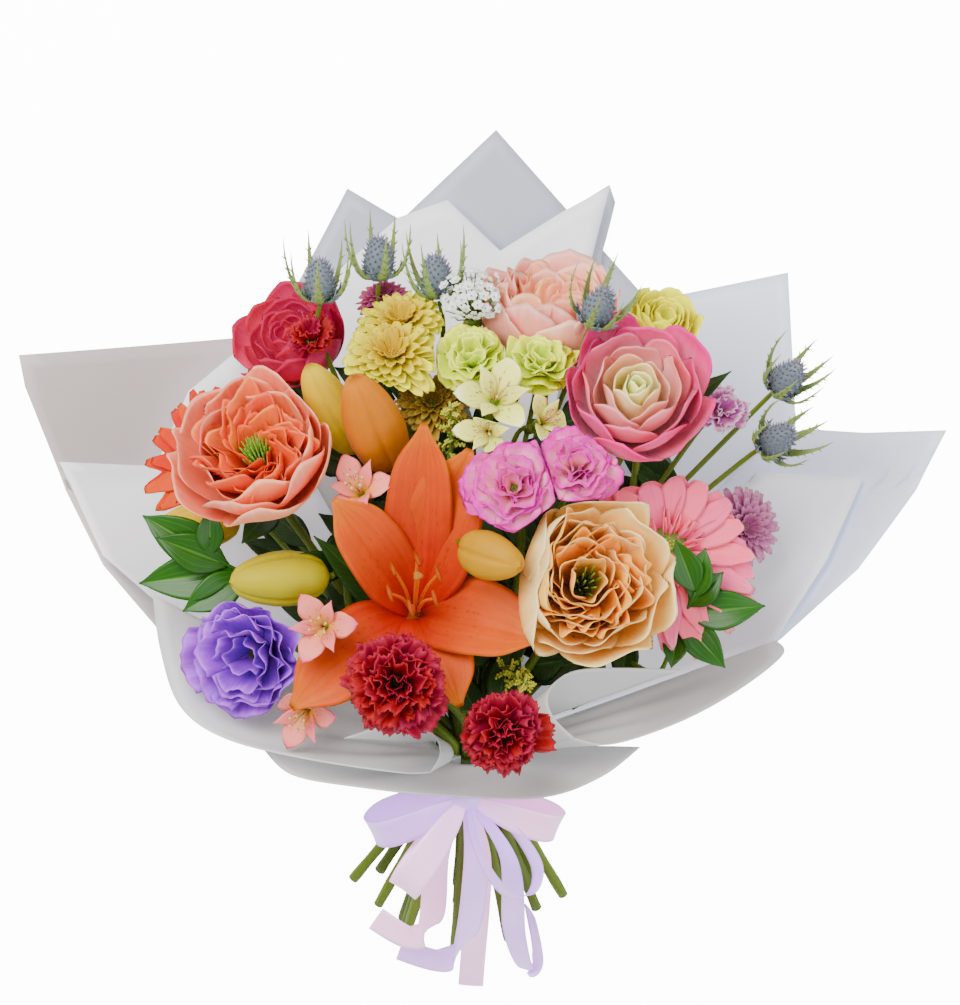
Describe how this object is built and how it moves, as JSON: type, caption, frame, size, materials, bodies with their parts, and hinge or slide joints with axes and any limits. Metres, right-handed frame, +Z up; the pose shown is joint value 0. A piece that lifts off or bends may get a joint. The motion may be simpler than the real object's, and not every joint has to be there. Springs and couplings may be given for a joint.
{
  "type": "rose bouquet",
  "caption": "Mixed bouquet of roses and other cut flowers in frosted paper, tied with a satin ribbon and lying on its back.",
  "frame": {"origin": "on the table, under the middle of the bouquet's outline as it lies on its back", "axes": "+X across the bouquet to the viewer's right, +Y from the cut stems to the flowers, +Z up from the table"},
  "size_m": [0.4686, 0.4381, 0.1976],
  "materials": {
    "paper_inner": "frosted translucent wrapping paper, inner sheets",
    "paper_outer": "frosted translucent wrapping paper, outer sheets",
    "ribbon": "pale lilac satin",
    "stem_green": "fresh green stems",
    "leaf_green": "glossy dark green leaves",
    "lily_petal": "orange tepals",
    "bud_skin": "yellow to orange buds",
    "thistle": "blue-grey spiny heads and bracts",
    "rose_coral": "coral petals",
    "rose_peach": "peach and cream petals",
    "rose_bicolor": "cream petals with hot pink rims",
    "rose_blush": "blush pink petals",
    "rose_magenta": "crimson petals",
    "petal_yellow": "yellow petals",
    "petal_lime": "lime petals",
    "petal_magenta": "magenta petals with pale rims",
    "petal_red": "red petals",
    "petal_mauve": "mauve petals",
    "mum_yellow": "pale yellow florets",
    "mum_bronze": "bronze florets",
    "mum_plum": "plum florets",
    "gerbera_pink": "pink ray petals",
    "gerbera_orange": "orange-red ray petals",
    "petal_purple": "purple ruffled petals",
    "petal_white": "greenish white petals",
    "petal_pink": "pink petals",
    "filler_green": "yellow-green plume florets"
  },
  "bodies": {
    "root": {"liner_back": "paper_inner", "liner_left": "paper_inner", "liner_right": "paper_inner", "collar_left": "paper_inner", "collar_right": "paper_inner", "paper_back_left": "paper_outer", "paper_back_right": "paper_outer", "paper_back_center": "paper_outer", "paper_left": "paper_outer", "paper_right_upper": "paper_outer", "paper_right": "paper_outer", "collar_front": "paper_outer", "ribbon_band": "ribbon", "ribbon_bow": "ribbon", "stems": "stem_green", "ruscus_right": "leaf_green", "ruscus_left": "leaf_green", "lily_orange": "lily_petal", "bud_yellow": "bud_skin", "bud_orange": "bud_skin", "bud_amber": "bud_skin", "bud_lime": "bud_skin", "bud_gold": "bud_skin", "eryngium_1": "thistle", "eryngium_2": "thistle", "eryngium_3": "thistle", "eryngium_4": "thistle", "eryngium_5": "thistle", "eryngium_6": "thistle", "rose_coral": "rose_coral", "rose_peach": "rose_peach", "rose_bicolor": "rose_bicolor", "rose_blush": "rose_blush", "rose_magenta": "rose_magenta", "rose_yellow": "petal_yellow", "carnation_lime_left": "petal_lime", "carnation_lime_right": "petal_lime", "carnation_magenta_left": "petal_magenta", "carnation_magenta_right": "petal_magenta", "carnation_red_left": "petal_red", "carnation_red_right": "petal_red", "carnation_crimson": "petal_red", "carnation_mauve": "petal_mauve", "mum_mauve": "petal_mauve", "mum_yellow_back": "mum_yellow", "mum_yellow_front": "mum_yellow", "mum_bronze": "mum_bronze", "mum_plum": "mum_plum", "gerbera_pink": "gerbera_pink", "gerbera_orange": "gerbera_orange", "lisianthus_purple": "petal_purple", "alstroemeria_white_top": "petal_white", "alstroemeria_white_low": "petal_white", "alstroemeria_white_side": "petal_white", "gypsophila": "petal_white", "alstroemeria_pink_top": "petal_pink", "alstroemeria_pink_mid": "petal_pink", "alstroemeria_pink_low": "petal_pink", "solidago_center": "filler_green", "solidago_front": "filler_green"}
  },
  "joints": []
}
